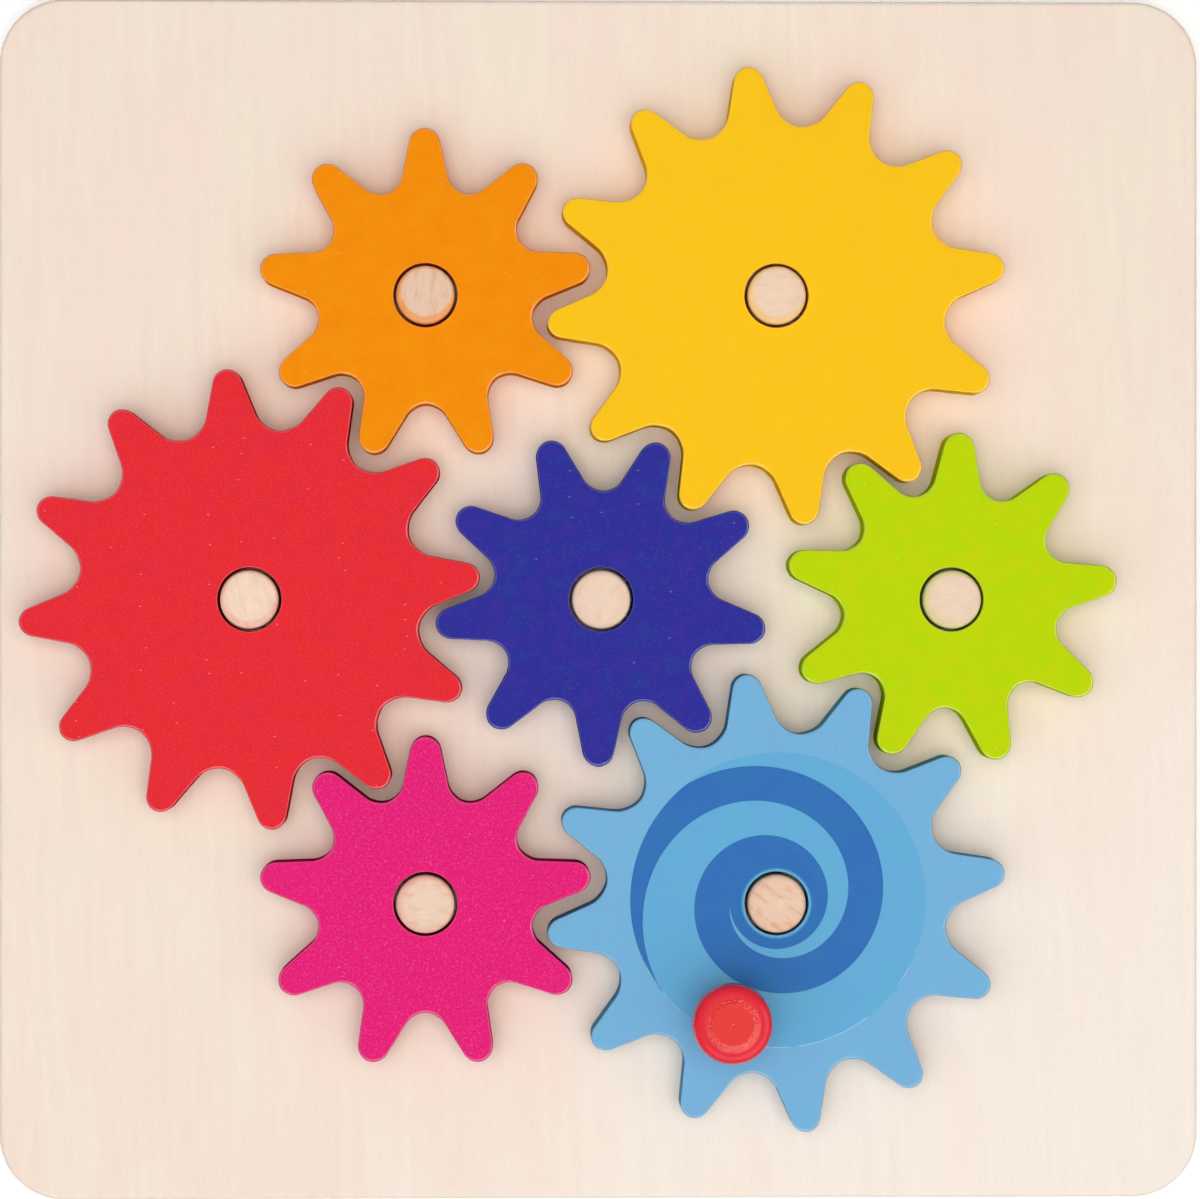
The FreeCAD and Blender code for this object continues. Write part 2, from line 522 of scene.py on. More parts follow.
# How a paint lies: how far large patches differ in lightness and in hue, the strength of fine
# mottling and of curly fibres, the share of light specks, how much darker it soaks into the walls,
# and its roughness
Look = namedtuple("Look", "patches hue mottle fibres specks soaked roughness")
LOOKS = {
    CRANK_GEAR: Look(0.015, 0.006, 0.03, 0.04, 0.10, 0.3, 0.32),
    "yellow_gear": Look(0.004, 0.001, 0.003, 0.01, 0.03, 0.12, 0.28),
    "red_gear": Look(0.02, 0.002, 0.12, 0.05, 0.25, 0.4, 0.30),
    "dark_blue_gear": Look(0.03, 0.008, 0.08, 0.06, 0.15, 0.2, 0.30),
    "green_gear": Look(0.022, 0.016, 0.015, 0.02, 0.06, 0.15, 0.30),
    "magenta_gear": Look(0.02, 0.002, 0.14, 0.16, 0.15, 0.5, 0.32),
    "orange_gear": Look(0.014, 0.003, 0.015, 0.02, 0.10, 0.2, 0.28),
}

# What all paints share: how much paler their fibres, specks and edges are, the edges partly from
# wear and partly as a painted highlight, how strongly the specks and the pale edges show and how
# far the edges shine, the plies behind the walls' paint, and how dark and how strong the seams
# between them are
PALER = 0.3
SPECK_STRENGTH = 0.6
EDGE_WEAR_AND_HIGHLIGHT = 0.2
EDGE_SHINE = 0.7
GEAR_PLIES = 5
SEAM_SHADE = 0.4
SEAM_STRENGTH = 0.25

PAINTS = {
    CRANK_GEAR: "light_blue",
    "yellow_gear": "yellow",
    "red_gear": "red",
    "dark_blue_gear": "dark_blue",
    "green_gear": "green",
    "magenta_gear": "magenta",
    "orange_gear": "orange",
}


def painted_wood(node):
    """Opaque paint on sawn wood, shinier along its edges and paler there, from wear and a painted
    highlight.
    """
    look = LOOKS[node]
    recipe = Recipe(bpy.data.materials.new(PAINTS[node] + "_paint"))
    paint = linear(getattr(bpy.context.scene.toy_paints, PAINTS[node]))
    pale = (*[part + (1 - part) * PALER for part in paint[:3]], 1)
    dark = (*[part * SEAM_SHADE for part in paint[:3]], 1)
    patches = recipe.noise(5 * MM, detail=4, roughness=0.65)
    mottle = recipe.mottle()
    fibres = recipe.fibres()
    colour = recipe.vary(paint, patches, look.patches, look.hue)
    colour = recipe.vary(colour, mottle, look.mottle)
    colour = recipe.mix(recipe.times(fibres, look.fibres), colour, pale)
    colour = recipe.mix(recipe.times(recipe.specks(look.specks), SPECK_STRENGTH), colour, pale)
    upward = recipe.upward()
    wall = recipe.rise(upward, 0.6, 0.1)
    edge = recipe.times(recipe.rise(upward, 0.99, 0.94), recipe.rise(upward, 0.3, 0.7))
    # Paler paint along the rounded edges: partly wear, partly a painted highlight
    colour = recipe.mix(recipe.times(edge, EDGE_WEAR_AND_HIGHLIGHT), colour, pale)
    soaked = {"Color": colour, "Fac": wall, "Value": 1 - look.soaked}
    colour = recipe.node("HueSaturation", soaked).outputs["Color"]
    to_seam = recipe.math("PINGPONG", recipe.plies(node, GEAR_PLIES), 0.5)
    seam = recipe.times(recipe.rise(to_seam, 0.09, 0), wall)
    colour = recipe.mix(recipe.times(seam, SEAM_STRENGTH), colour, dark)
    height = recipe.plus(mottle, recipe.times(fibres, 0.5))
    recipe.set(
        Base_Color=colour,
        Roughness=recipe.spread(mottle, look.roughness - 0.05, look.roughness + 0.05),
        Specular_IOR_Level=recipe.times(recipe.rise(upward, 0.1, 0.6), PAINT_GLOSS),
        Coat_Weight=recipe.times(edge, EDGE_SHINE),
        Coat_Roughness=0.15,
        Normal=recipe.bump(recipe.math("SUBTRACT", height, seam), RELIEF),
    )
    return recipe.made


def plywood():
    """Pale birch with upright grain on its faces, paler towards the lamps as painted light, and its
    plies along the edges.
    """
    board = bpy.context.scene.toy_board
    half_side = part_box(BOARD)[1].x
    recipe = Recipe(bpy.data.materials.new("birch_plywood"))
    clouds = recipe.noise((18 * MM, 42 * MM, 18 * MM), detail=4)
    veins = recipe.noise((2.2 * MM, 26 * MM, 2.2 * MM), detail=3, turn=math.radians(1.5))
    fibre = recipe.noise((0.3 * MM, 9 * MM, 0.3 * MM))
    dashes = recipe.noise((0.25 * MM, 3 * MM, 0.25 * MM), detail=0)
    pores = recipe.noise(0.25 * MM)

    hue = recipe.plus(clouds, recipe.times(recipe.math("SUBTRACT", veins, 0.5), 0.5))
    face = recipe.mix(recipe.rise(hue, 0.34, 0.66), linear(board.rosy), linear(board.straw))
    # Painted light: the face grows paler towards the lower right, where the lamps stand, broken up
    # by clouds
    slant = recipe.axes(recipe.point(half_side, turn=math.radians(-50)))["X"]
    lit_side = recipe.rise(recipe.plus(slant, clouds), 0.7, 1.7)
    face = recipe.mix(recipe.times(lit_side, 0.8), face, linear(board.pale))
    face = recipe.vary(face, veins, 0.008)
    broken = recipe.mix(recipe.rise(clouds, 0.4, 0.6), fibre, veins)
    face = recipe.vary(face, broken, 0.010)
    flecks = recipe.times(recipe.rise(dashes, 0.62, 0.78), 0.15)
    face = recipe.mix(flecks, face, linear(board.fibre))

    ply = recipe.plies(BOARD, board.ply_count)
    odd = recipe.math("MODULO", recipe.math("FLOOR", ply), 2)
    edge = recipe.mix(odd, recipe.vary(linear(board.straw), fibre, 0.05), linear(board.cross_ply))
    edge = recipe.vary(edge, pores, 0.08)
    glue = recipe.rise(recipe.math("PINGPONG", ply, 0.5), 0.07, 0.02)
    edge = recipe.mix(recipe.times(glue, 0.7), edge, linear(board.glue))

    wall = recipe.rise(recipe.upward(), 0.75, 0.35)
    recipe.set(
        Base_Color=recipe.mix(wall, face, edge),
        Roughness=recipe.spread(veins, 0.52, 0.62),
        Specular_IOR_Level=MATT_GLOSS,
        Normal=recipe.bump(recipe.plus(veins, recipe.times(fibre, 0.5)), RELIEF),
    )
    return recipe.made


# How the end of a pin looks: which way its fibres lie, how strongly its growth lines show, how
# warm and how light the wood is, how strongly a painted reflection of the gear's paint tints its
# rim, and on which side most of it
PinLook = namedtuple("PinLook", "fibres lines warm light rubbed side")
PIN_LOOKS = {
    CRANK_GEAR: PinLook(-35, 0.42, 0.25, 1.0, 0.05, 150),
    "yellow_gear": PinLook(3, 0.12, 0.04, 1.0, 0.45, 225),
    "red_gear": PinLook(105, 0.22, 0, 1.06, 0.22, 250),
    "dark_blue_gear": PinLook(60, 0.10, 0.04, 1.0, 0.06, 170),
    "green_gear": PinLook(20, 0.10, 0, 0.99, 0.30, 190),
    "magenta_gear": PinLook(0, 0.30, 0.06, 0.99, 0.20, 180),
    "orange_gear": PinLook(92, 0.50, 0.08, 0.92, 0.65, 240),
}
PLAIN_END = PinLook(0, 0.2, 0, 1.0, 0, 0)
# Painted shade: how much darker and warmer every rim is made
RIM_SHADE = 0.13  # how much warmer every rim is


def dowel_wood(name, centre, look=PLAIN_END, paint=(1, 1, 1, 1)):
    """Beech end grain with faint growth lines, a rim with painted shade and a painted reflection of
    the gear's paint, and straight fibre down the side.
    """
    pins = bpy.context.scene.toy_pins
    recipe = Recipe(bpy.data.materials.new(name))
    turn = math.radians(look.fibres)
    warp = recipe.noise((4 * MM, 4 * MM, 40 * MM), detail=0, centre=centre)
    pores = recipe.noise((0.2 * MM, 0.2 * MM, 6 * MM), detail=1)
    streaks = recipe.noise((5 * MM, 0.35 * MM, 8 * MM), turn=turn)
    cloud = recipe.noise((3 * MM, 3 * MM, 20 * MM))
    smudges = recipe.noise((3 * MM, 1 * MM, 30 * MM), turn=turn)

    across = recipe.axes(recipe.point(MM, centre, turn))["Y"]
    years = recipe.math("PINGPONG", recipe.plus(across, recipe.times(warp, 2.5)), 1.4)
    lines = recipe.times(recipe.rise(years, 1.3, 0), recipe.rise(smudges, 0.42, 0.62))
    from_middle = recipe.away(centre)
    # Painted shade: the end grows darker and warmer towards its rounded rim
    rim_shade = recipe.times(recipe.rise(from_middle, 2, 5.2), RIM_SHADE)
    tone = recipe.plus(recipe.times(lines, look.lines), recipe.plus(rim_shade, look.warm))
    wood = (*[part * look.light for part in linear(pins.end_grain)[:3]], 1)
    colour = recipe.mix(tone, wood, linear(pins.ring))
    colour = recipe.vary(colour, cloud, 0.02, 0.004)
    colour = recipe.vary(colour, streaks, 0.02)
    colour = recipe.vary(colour, pores, 0.015)

    # Painted reflection: the gear's paint colour laid on the rim, strongest on one side, faintly
    # over the whole end
    reach = recipe.plus(from_middle, recipe.math("SUBTRACT", warp, 0.5))
    toward = recipe.axes(recipe.point(6 * MM, centre, math.radians(look.side)))["X"]
    rim = recipe.rise(recipe.plus(reach, toward), 4.6, 5.6)
    rubbed = recipe.times(recipe.math("MAXIMUM", rim, 0.12), look.rubbed)
    recipe.set(
        Base_Color=recipe.mix(rubbed, colour, paint),
        Roughness=recipe.spread(pores, 0.5, 0.65),
        Specular_IOR_Level=MATT_GLOSS,
        Normal=recipe.bump(recipe.plus(pores, streaks), 0.015 * MM),
    )
    return recipe.made


# Gloss of the knob's lacquer, how much more its ring has and how much less its shoulder, and how
# many times as high as dimples its wrinkles stand
LACQUER_GLOSS = 0.25
RING_GLOSS = 0.2
SHOULDER_GLOSS = 0.15
WRINKLE_HEIGHT = 50


def knob_lacquer(centre):
    """Glossy red lacquer over turned wood, wrinkled on the ring round its flat top, with painted
    shade on its shoulder.
    """
    knob = bpy.context.scene.toy_knob
    recipe = Recipe(bpy.data.materials.new("red_lacquer"))
    lathe = recipe.noise((60 * MM, 60 * MM, 0.35 * MM))
    dimples = recipe.noise(0.6 * MM)
    fibre = recipe.noise((0.5 * MM, 0.5 * MM, 7 * MM), centre=centre)
    wrinkles = recipe.noise(0.7 * MM, detail=3, roughness=0.6)

    reach = recipe.away(centre)
    inner = knob.top_radius / MM
    outer = (knob.top_radius + knob.step_width) / MM
    soft = 0.3
    beyond = recipe.rise(reach, inner - soft, inner)
    ring = recipe.times(beyond, recipe.rise(reach, outer + soft, outer))
    above = recipe.rise(recipe.upward(), 0.2, 0.5)
    shoulder = recipe.times(recipe.rise(reach, outer, outer + 0.8), above)
    colour = recipe.vary(linear(knob.lacquer), fibre, 0.03)
    colour = recipe.vary(colour, dimples, 0.02)
    # Painted shade: the shoulder takes a darker, pinker colour
    colour = recipe.mix(recipe.times(shoulder, 0.6), colour, linear(knob.shoulder_shade))

    wrinkled = recipe.times(ring, recipe.math("SUBTRACT", wrinkles, 0.5))
    height = recipe.plus(dimples, recipe.times(lathe, 0.4))
    height = recipe.plus(height, recipe.times(wrinkled, WRINKLE_HEIGHT))
    gloss = recipe.plus(LACQUER_GLOSS, recipe.times(ring, RING_GLOSS))
    recipe.set(
        Base_Color=colour,
        Roughness=recipe.spread(fibre, 0.15, 0.2),
        Specular_IOR_Level=recipe.math("SUBTRACT", gloss, recipe.times(shoulder, SHOULDER_GLOSS)),
        Normal=recipe.bump(height, 0.008 * MM),
    )
    return recipe.made


# The print lies a little off the gear's middle. Its spiral band winds clockwise about an eye, from
# a direction in degrees. An edge is base + swing * exp(-closing * degrees) millimetres away
DISC_MIDDLE = Vector((0.3, 0.65, 0)) * MM
SPIRAL_EYE = Vector((-0.96, 0.57, 0)) * MM
SPIRAL_START = 216
SpiralEdge = namedtuple("SpiralEdge", "base swing closing")
INNER_EDGE = SpiralEdge(-4.47, 33.60, 0.002398)
OUTER_EDGE = SpiralEdge(3.50, 32.85, 0.002447)


def spiral_ink(centre):
    """A spiral band on a lighter disc, both thin ink, with a bright ring round the bore that is a
    painted highlight.
    """
    ink = bpy.context.scene.toy_print
    recipe = Recipe(bpy.data.materials.new("spiral_ink"))
    patches = recipe.noise(6 * MM, detail=3)
    mottle = recipe.mottle()
    place = recipe.axes(recipe.point(MM, centre + SPIRAL_EYE))
    reach = recipe.away(centre + SPIRAL_EYE)
    clockwise = recipe.times(recipe.math("ARCTAN2", place["Y"], place["X"]), -math.degrees(1))
    clockwise = recipe.plus(clockwise, SPIRAL_START)

    def wound(edge):
        """Degrees that an edge of the band has wound when it stands as near as here."""
        near = recipe.math("MAXIMUM", recipe.math("SUBTRACT", reach, edge.base), 0.1)
        shrunk = recipe.math("LOGARITHM", recipe.math("DIVIDE", edge.swing, near), math.e)
        return recipe.math("DIVIDE", shrunk, edge.closing)

    begins = wound(INNER_EDGE)
    into = recipe.math("FLOORED_MODULO", recipe.math("SUBTRACT", clockwise, begins), 360)
    left = recipe.math("SUBTRACT", recipe.math("SUBTRACT", wound(OUTER_EDGE), begins), into)
    band = recipe.rise(recipe.math("MINIMUM", into, left), -0.25, 0.25)
    colour = recipe.mix(band, linear(ink.disc), linear(ink.band))
    # Painted highlight: a thin ring of its own colour round the bore
    rim = ink.rim / MM
    colour = recipe.mix(recipe.rise(recipe.away(centre), rim, rim - 0.1), colour, linear(ink.ring))

    disc = ink.radius / MM
    edge = recipe.rise(recipe.away(centre + DISC_MIDDLE), disc - 0.3, disc - 0.15)
    lower = recipe.rise(recipe.axes(recipe.point(MM, centre))["Y"], -6, -14)
    bare = recipe.times(recipe.times(edge, lower), recipe.rise(patches, 0.4, 0.55))
    colour = recipe.mix(recipe.times(bare, 0.6), colour, linear(ink.margin))
    colour = recipe.vary(colour, patches, 0.02, 0.006)
    colour = recipe.vary(colour, mottle, 0.025)
    light = recipe.plus(recipe.fibres(), recipe.times(recipe.specks(0.15), 4))
    colour = recipe.mix(recipe.times(light, 0.02), colour, linear(ink.ring))
    recipe.set(
        Base_Color=colour,
        Roughness=recipe.spread(mottle, 0.3, 0.4),
        Specular_IOR_Level=PAINT_GLOSS,
        Normal=recipe.bump(mottle, RELIEF),
    )
    return recipe.made


def paper():
    """Plain matt studio paper, which the camera sees a little brighter than it lights the toy."""
    stage = bpy.context.scene.toy_stage
    recipe = Recipe(bpy.data.materials.new("studio_paper"))
    tooth = recipe.noise(0.8 * MM, detail=3)
    rays = recipe.node("LightPath").outputs
    seen = recipe.math("MAXIMUM", rays["Is Camera Ray"], rays["Is Glossy Ray"])
    colour = recipe.mix(seen, linear((0.86, 0.86, 0.86)), linear(stage.paper))
    recipe.set(
        Base_Color=recipe.vary(colour, tooth, 0.01),
        Roughness=0.9,
        Specular_IOR_Level=MATT_GLOSS,
        Emission_Color=(1, 1, 1, 1),
        Emission_Strength=recipe.times(seen, stage.glow),
        Normal=recipe.bump(tooth, RELIEF),
    )
    return recipe.made


# ---------------------------------------------------------------- the pieces


def model_board():
    """The plywood square: a slab with round corners, soft edges and a socket for each pin."""
    board = bpy.context.scene.toy_board
    low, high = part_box(BOARD)
    clear_selection()
    bpy.ops.mesh.primitive_cube_add(size=1, location=(low + high) / 2, scale=high - low)
    slab = bpy.context.object
    settle(slab)
    edit(slab)
    pick(slab, "edges", lambda edge: abs(edge.verts[0].co.z - edge.verts[1].co.z) > MM)
    bpy.ops.mesh.bevel(offset=board.corner_radius, segments=CORNER_STEPS, affect="EDGES")
    pick(slab, "edges", level(low.z, high.z))
    bpy.ops.mesh.bevel(offset=board.edge_round, segments=BOARD_EDGE_STEPS, affect="EDGES")
    leave_edit()
    for gear in GEARS:
        mouth = CENTRES[gear] + UP * high.z
        cut_away(slab, cylinder(pin_radius(gear), 2 * board.socket_depth, mouth))
    smooth(slab)
    hand_over(slab, "plywood_board", BOARD, plywood())


def pin_radius(gear):
    low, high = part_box(gear + "_pin")
    return (high.x - low.x) / 2


def cylinder(radius, depth, middle):
    clear_selection()
    bpy.ops.mesh.primitive_cylinder_add(
        vertices=PIN_SIDES, radius=radius, depth=depth, location=middle
    )
    return bpy.context.object


def model_pins():
    """Seven like pins: dowels with a rounded upper end."""
    pins = bpy.context.scene.toy_pins
    low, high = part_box(GEARS[0] + "_pin")
    first = cylinder(pin_radius(GEARS[0]), high.z - low.z, UP * (low.z + high.z) / 2)
    settle(first)
    edit(first)
    pick(first, "edges", level(high.z))
    bpy.ops.mesh.bevel(offset=pins.end_round, segments=PIN_EDGE_STEPS, affect="EDGES")
    leave_edit()
    smooth(first)
    paints = bpy.context.scene.toy_paints
    for gear in GEARS:
        pin = copy_of(first)
        pin.location = CENTRES[gear]
        settle(pin)
        paint = linear(getattr(paints, PAINTS[gear]))
        wood = dowel_wood(gear + "_pin_wood", CENTRES[gear], PIN_LOOKS[gear], paint)
        hand_over(pin, gear.replace("_gear", "") + "_pin_dowel", gear + "_pin", wood)
    delete(first)


def round_corners(wheel, corners, radius, turn):
    """Rounds corners of a flat outline to a true arc, by two cuts of half the turn."""
    whole = radius * math.tan(turn / 2)
    half = radius * math.tan(turn / 4)
    pick(wheel, "verts", corners)
    bpy.ops.mesh.bevel(affect="VERTICES", offset=whole - half, segments=1, clamp_overlap=False)
    bpy.ops.mesh.bevel(affect="VERTICES", offset=half, segments=ARC_STEPS, clamp_overlap=False)


def model_gear(teeth, height, depth, tip, flank, low, high):
    """One gear about the origin, with a tooth along +Y: a star is rounded, bored and raised."""
    gears = bpy.context.scene.toy_gears
    rolling = PIN_SPACING * teeth / (LARGE_TEETH + SMALL_TEETH)
    outer = rolling + height
    root = rolling - depth
    half_pitch = math.pi / teeth
    lean = math.sin(flank + half_pitch)
    gap = (root * lean - tip - (outer - tip) * math.sin(flank)) / (1 - lean)
    tip_corner = outer - tip + tip / math.sin(flank)
    gap_corner = root + gap - gap / lean
    bore = pin_radius(CRANK_GEAR) + gears.bore_clearance
    clear_selection()
    bpy.ops.mesh.primitive_circle_add(vertices=2 * teeth, radius=gap_corner, location=UP * low)
    wheel = bpy.context.object
    settle(wheel)
    edit(wheel)
    pick(wheel, "verts", lambda vert: round(math.atan2(vert.co.x, vert.co.y) / half_pitch) % 2 == 0)
    grow = tip_corner / gap_corner
    bpy.ops.transform.resize(value=(grow, grow, 1), center_override=UP * low)
    between = (tip_corner + gap_corner) / 2
    round_corners(wheel, lambda vert: vert.co.xy.length > between, tip, math.pi - 2 * flank)
    near_gap = gap_corner + MM / 10
    gap_turn = math.pi - 2 * (flank + half_pitch)
    round_corners(wheel, lambda vert: vert.co.xy.length < near_gap, gap, gap_turn)
    bpy.ops.mesh.select_all(action="SELECT")
    bpy.ops.mesh.remove_doubles(threshold=TOUCH)
    add_loop(len(bmesh.from_edit_mesh(wheel.data).verts), bore, UP * low)
    bridge_and_raise(high - low)
    on_rim = level(low, high)

    def at_bore(edge):
        return on_rim(edge) and all(abs(vert.co.xy.length - bore) < MM / 100 for vert in edge.verts)

    def at_teeth(edge):
        return on_rim(edge) and all(vert.co.xy.length > bore + MM for vert in edge.verts)

    pick(wheel, "edges", at_bore)
    bpy.ops.mesh.bevel(offset=gears.bore_round, segments=BORE_EDGE_STEPS, affect="EDGES")
    pick(wheel, "edges", at_teeth)
    bpy.ops.mesh.bevel(offset=gears.edge_round, segments=TOOTH_EDGE_STEPS, affect="EDGES")
    leave_edit()
    smooth(wheel)
    return wheel


def rest_turn(gear, teeth):
    """Where a gear's tooth points at rest, from the phase of its farthest points."""
    centre = CENTRES[gear].xy
    spokes = [vert.co.xy - centre for vert in frame["nodes"][gear].data.vertices]
    farthest = max(spoke.length for spoke in spokes)
    tips = [spoke for spoke in spokes if spoke.length > farthest - MM / 2]
    east = sum(math.cos(teeth * math.atan2(tip.y, tip.x)) for tip in tips)
    north = sum(math.sin(teeth * math.atan2(tip.y, tip.x)) for tip in tips)
    return math.atan2(north, east) / teeth


def model_gears(names, teeth, height, depth, tip, flank):
    """Like gears: one is modelled, and a copy put on each pin, turned as that gear rests."""
    low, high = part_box(names[0])
    wheel = model_gear(teeth, height, depth, tip, flank, low.z, high.z)
    for name in names:
        gear = copy_of(wheel)
        gear.rotation_euler.z = rest_turn(name, teeth) - math.pi / 2
        gear.location = CENTRES[name]
        settle(gear)
        hand_over(gear, name + "_wheel", name, painted_wood(name))
    delete(wheel)


def model_print():
    """The film of ink on the crank gear: a thin ring, sunk a little into the gear."""
    ink = bpy.context.scene.toy_print
    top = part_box(CRANK_GEAR)[1].z
    centre = CENTRES[CRANK_GEAR]
    low = centre + UP * (top - ink.film)
    clear_selection()
    outer = low + DISC_MIDDLE
    bpy.ops.mesh.primitive_circle_add(vertices=PRINT_SIDES, radius=ink.radius, location=outer)
    ring = bpy.context.object
    settle(ring)
    edit(ring)
    add_loop(PRINT_SIDES, ink.hole, low)
    bridge_and_raise(2 * ink.film)
    leave_edit()
    smooth(ring)
    ring.name = "spiral_print"
    ring.data.name = ring.name
    ring.data.materials.append(spiral_ink(centre))
    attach(ring, CRANK_GEAR)


def knob_profile(foot, widest, height):
    """Stations up the knob as (radius, height), from the foot to the edge of the flat top."""
    knob = bpy.context.scene.toy_knob
    waist = Vector((knob.waist_radius, knob.waist_height, 0))
    start = Vector((foot, knob.foot_height, 0))
    corner = Vector((knob.waist_radius, knob.foot_height, 0))
    middle = (knob.waist_height + knob.head_height) / 2
    head = Vector((widest, knob.head_height, 0))
    step = Vector((knob.top_radius + knob.step_width, height - knob.step_height, 0))
    shoulder = Vector((widest, step.y - knob.shoulder_drop, 0))
    under_waist = Vector((knob.waist_radius, middle, 0))
    under_head = Vector((widest, middle, 0))
    neck = interpolate_bezier(
        start, start.lerp(corner, 2 / 3), waist.lerp(corner, 2 / 3), waist, NECK_POINTS
    )
    bowl = interpolate_bezier(waist, under_waist, under_head, head, HEAD_POINTS)
    full = knob.fullness
    crown = interpolate_bezier(
        head, head.lerp(shoulder, full), step.lerp(shoulder, full), step, HEAD_POINTS
    )
    stations = [(point.x, point.y) for point in neck + bowl[1:] + crown[1:]]
    return stations + [(knob.top_radius, height)]


def pull_up(foot, start, stations):
    """Extrudes the selected disc through stations, each a (radius, height) above the foot."""
    radius, reached = start
    for wanted, height in stations:
        bpy.ops.mesh.extrude_region_move(TRANSFORM_OT_translate={"value": UP * (height - reached)})
        grow = wanted / radius
        bpy.ops.transform.resize(value=(grow, grow, 1), center_override=foot + UP * height)
        radius = wanted
        reached = height


def model_knob():
    """The turned knob: a disc pulled up step by step along its profile."""
    knob = bpy.context.scene.toy_knob
    low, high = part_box(KNOB)
    axis = ((low + high) / 2).xy
    foot = Vector((*axis, low.z))
    clear_selection()
    bpy.ops.mesh.primitive_circle_add(
        vertices=KNOB_SIDES, radius=knob.foot_radius, location=foot, fill_type="NGON"
    )
    turned = bpy.context.object
    settle(turned)
    edit(turned)
    bpy.ops.mesh.select_all(action="SELECT")
    height = high.z - low.z
    profile = knob_profile(knob.foot_radius, (high.x - low.x) / 2, height)
    pull_up(foot, (knob.foot_radius, 0), profile)
    pick(turned, "edges", level(high.z))
    bpy.ops.mesh.bevel(offset=knob.top_soft, segments=KNOB_EDGE_STEPS, affect="EDGES")
    pick(turned, "faces", level(high.z))
    flat = (knob.top_radius - knob.top_soft, height)
    pip = knob.pip_radius
    pull_up(foot, flat, [(2 * pip, height), (pip, height), (pip / 2, height - knob.pip_depth)])
    face_outwards()
    leave_edit()
    smooth(turned, KNOB_SHARPEST)
    hand_over(turned, "turned_knob", KNOB, knob_lacquer(foot))


def finish_dowel():
    """The hidden dowel keeps its solid, and gets the wood of the pins."""
    dowel = frame["nodes"][DOWEL]
    low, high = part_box(DOWEL)
    dowel.data.materials.clear()
    dowel.data.materials.append(dowel_wood("knob_dowel_wood", (low + high) / 2))


# ---------------------------------------------------------------- the stage


FLOOR_SIZE = 6
SENSOR_WIDTH = 36
NEAREST_SEEN = 10 * MM


def set_stage():
    """Pale paper, soft lamps, weak light from all round and a camera above."""
    stage = bpy.context.scene.toy_stage
    scene = bpy.context.scene
    scene.view_settings.view_transform = "Standard"
    clear_selection()
    bpy.ops.mesh.primitive_plane_add(size=FLOOR_SIZE)
    floor = bpy.context.object
    floor.name = "studio_floor"
    floor.data.materials.append(paper())
    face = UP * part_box(BOARD)[1].z
    camera = bpy.data.cameras.new("camera")
    camera.sensor_width = SENSOR_WIDTH
    eye = face + Vector((-stage.camera_left, -stage.camera_near, stage.camera_height))
    camera.lens = SENSOR_WIDTH * (eye - face).length / stage.frame_width
    camera.clip_start = NEAREST_SEEN
    stand = bpy.data.objects.new("camera", camera)
    stand.location = eye
    sight = (face - eye).normalized()
    stand.rotation_euler = (math.asin(sight.y), math.atan2(-sight.x, -sight.z), 0)
    scene.collection.objects.link(stand)
    scene.camera = stand
    for name in LAMPS:
        hang_lamp(name)
    scene.world = studio_sky()


# Round lamps aimed at the toy: how far down from straight above and towards which side they hang,
# how far they reach round that direction, all in degrees, how bright and how warm they are, and
# whether they light colours or are mirrored in gloss. Warm and cool lamps add up to white on a
# level face
Lamp = namedtuple("Lamp", "down side reach brightness warmth diffuse glossy")
LAMPS = {
    "overhead": Lamp(0, 0, 18, 3.30, 0.11, True, False),
    "wide": Lamp(19, 228, 36.7, 1.19, -0.115, True, False),
    "right": Lamp(43, -32, 29, 0.60, 0.11, True, False),
    "window_right": Lamp(45, -5, 19, 5.00, 0, False, True),
    "window_middle": Lamp(45, -55, 19, 5.50, 0, False, True),
    "window_left": Lamp(45, -105, 19, 4.50, 0, False, True),
}
LAMP_DISTANCE = 2.5


def hang_lamp(name):
    """A round softbox. A brightness of 1 from everywhere shows a white card as white."""
    look = LAMPS[name]
    down = math.radians(look.down)
    side = math.radians(look.side)
    radius = LAMP_DISTANCE * math.tan(math.radians(look.reach))
    lamp = bpy.data.lights.new(name, "AREA")
    lamp.shape = "DISK"
    lamp.size = 2 * radius
    lamp.color = (1 + look.warmth, 1, 1 - look.warmth)
    lamp.energy = look.brightness * math.pi * (math.pi * radius**2)
    bulb = bpy.data.objects.new(name, lamp)
    out = math.sin(down)
    toward = Vector((out * math.cos(side), out * math.sin(side), math.cos(down)))
    bulb.location = toward * LAMP_DISTANCE
    bulb.rotation_euler = (0, down, side)
    bulb.visible_diffuse = look.diffuse
    bulb.visible_glossy = look.glossy
    bpy.context.scene.collection.objects.link(bulb)


def studio_sky():
    """Weak light from all round, with a white background that gloss mirrors low down only."""
    stage = bpy.context.scene.toy_stage
    recipe = Recipe(bpy.data.worlds.new("studio_sky"), "Background")
    low = recipe.rise(recipe.axes(recipe.here["Generated"])["Z"], 0.35, 0.05)
    rays = recipe.node("LightPath").outputs
    mirrored = recipe.times(rays["Is Glossy Ray"], low)
    seen = recipe.math("MAXIMUM", rays["Is Camera Ray"], mirrored)
    recipe.set(Color=(1, 1, 1, 1), Strength=recipe.math("MAXIMUM", seen, stage.sky))
    return recipe.made


# ---------------------------------------------------------------- operators and panel


class TOY_OT_base_board(Operator):
    """Model the plywood board"""

    bl_idname = "toy.base_board"
    bl_label = "Base board"

    def execute(self, context):
        model_board()
        return {"FINISHED"}


class TOY_OT_pins(Operator):
    """Model the seven pins"""

    bl_idname = "toy.pins"
    bl_label = "Pins"

    def execute(self, context):
        model_pins()
        return {"FINISHED"}


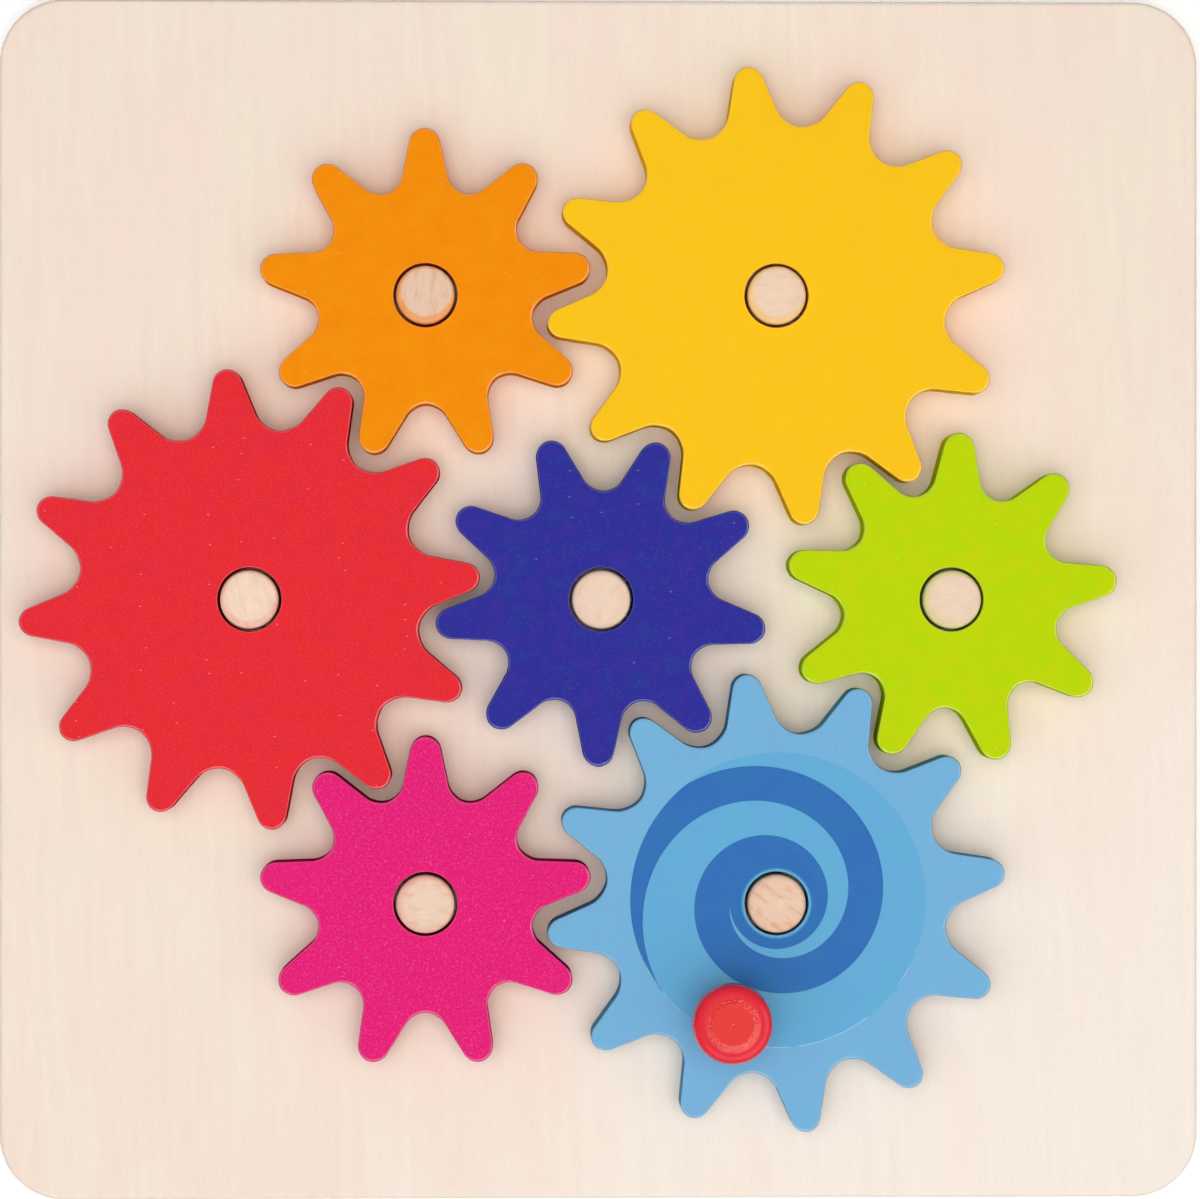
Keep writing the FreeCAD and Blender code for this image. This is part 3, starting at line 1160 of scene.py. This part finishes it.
class TOY_OT_large_gears(Operator):
    """Model the three gears of twelve teeth"""

    bl_idname = "toy.large_gears"
    bl_label = "Large gears"

    def execute(self, context):
        sizes = context.scene.toy_gears
        model_gears(
            LARGE_GEARS,
            LARGE_TEETH,
            sizes.large_tooth_height,
            sizes.large_tooth_depth,
            sizes.large_tip_round,
            sizes.large_flank,
        )
        return {"FINISHED"}


class TOY_OT_small_gears(Operator):
    """Model the four gears of nine teeth"""

    bl_idname = "toy.small_gears"
    bl_label = "Small gears"

    def execute(self, context):
        sizes = context.scene.toy_gears
        model_gears(
            SMALL_GEARS,
            SMALL_TEETH,
            sizes.small_tooth_height,
            sizes.small_tooth_depth,
            sizes.small_tip_round,
            sizes.small_flank,
        )
        return {"FINISHED"}


class TOY_OT_spiral_print(Operator):
    """Lay the printed spiral on the crank gear"""

    bl_idname = "toy.spiral_print"
    bl_label = "Spiral print"

    def execute(self, context):
        model_print()
        return {"FINISHED"}


class TOY_OT_crank_knob(Operator):
    """Turn the crank's knob and finish its dowel"""

    bl_idname = "toy.crank_knob"
    bl_label = "Crank knob"

    def execute(self, context):
        model_knob()
        finish_dowel()
        return {"FINISHED"}


class TOY_OT_stage(Operator):
    """Set up the floor, the light and the camera"""

    bl_idname = "toy.stage"
    bl_label = "Stage"

    def execute(self, context):
        set_stage()
        return {"FINISHED"}


STEPS = (
    TOY_OT_base_board,
    TOY_OT_pins,
    TOY_OT_large_gears,
    TOY_OT_small_gears,
    TOY_OT_spiral_print,
    TOY_OT_crank_knob,
    TOY_OT_stage,
)


class TOY_PT_gear_toy(Panel):
    """Sizes, colours and steps of the gear toy"""

    bl_idname = "TOY_PT_gear_toy"
    bl_label = "Wooden Crank Gear Toy"
    bl_space_type = "VIEW_3D"
    bl_region_type = "UI"
    bl_category = "Gear Toy"

    def draw(self, context):
        for step in STEPS:
            self.layout.operator(step.bl_idname)
        for name, settings in SETTINGS.items():
            box = self.layout.box()
            for setting in settings.__annotations__:
                box.prop(getattr(context.scene, name), setting)


CLASSES = (*SETTINGS.values(), *STEPS, TOY_PT_gear_toy)


def register():
    for each in CLASSES:
        bpy.utils.register_class(each)
    for name, settings in SETTINGS.items():
        setattr(bpy.types.Scene, name, PointerProperty(type=settings))


def unregister():
    for name in SETTINGS:
        delattr(bpy.types.Scene, name)
    for each in reversed(CLASSES):
        bpy.utils.unregister_class(each)


def main():
    register()
    for step in STEPS:
        getattr(bpy.ops.toy, step.bl_idname.split(".")[1])()


if __name__ == "__main__":
    main()
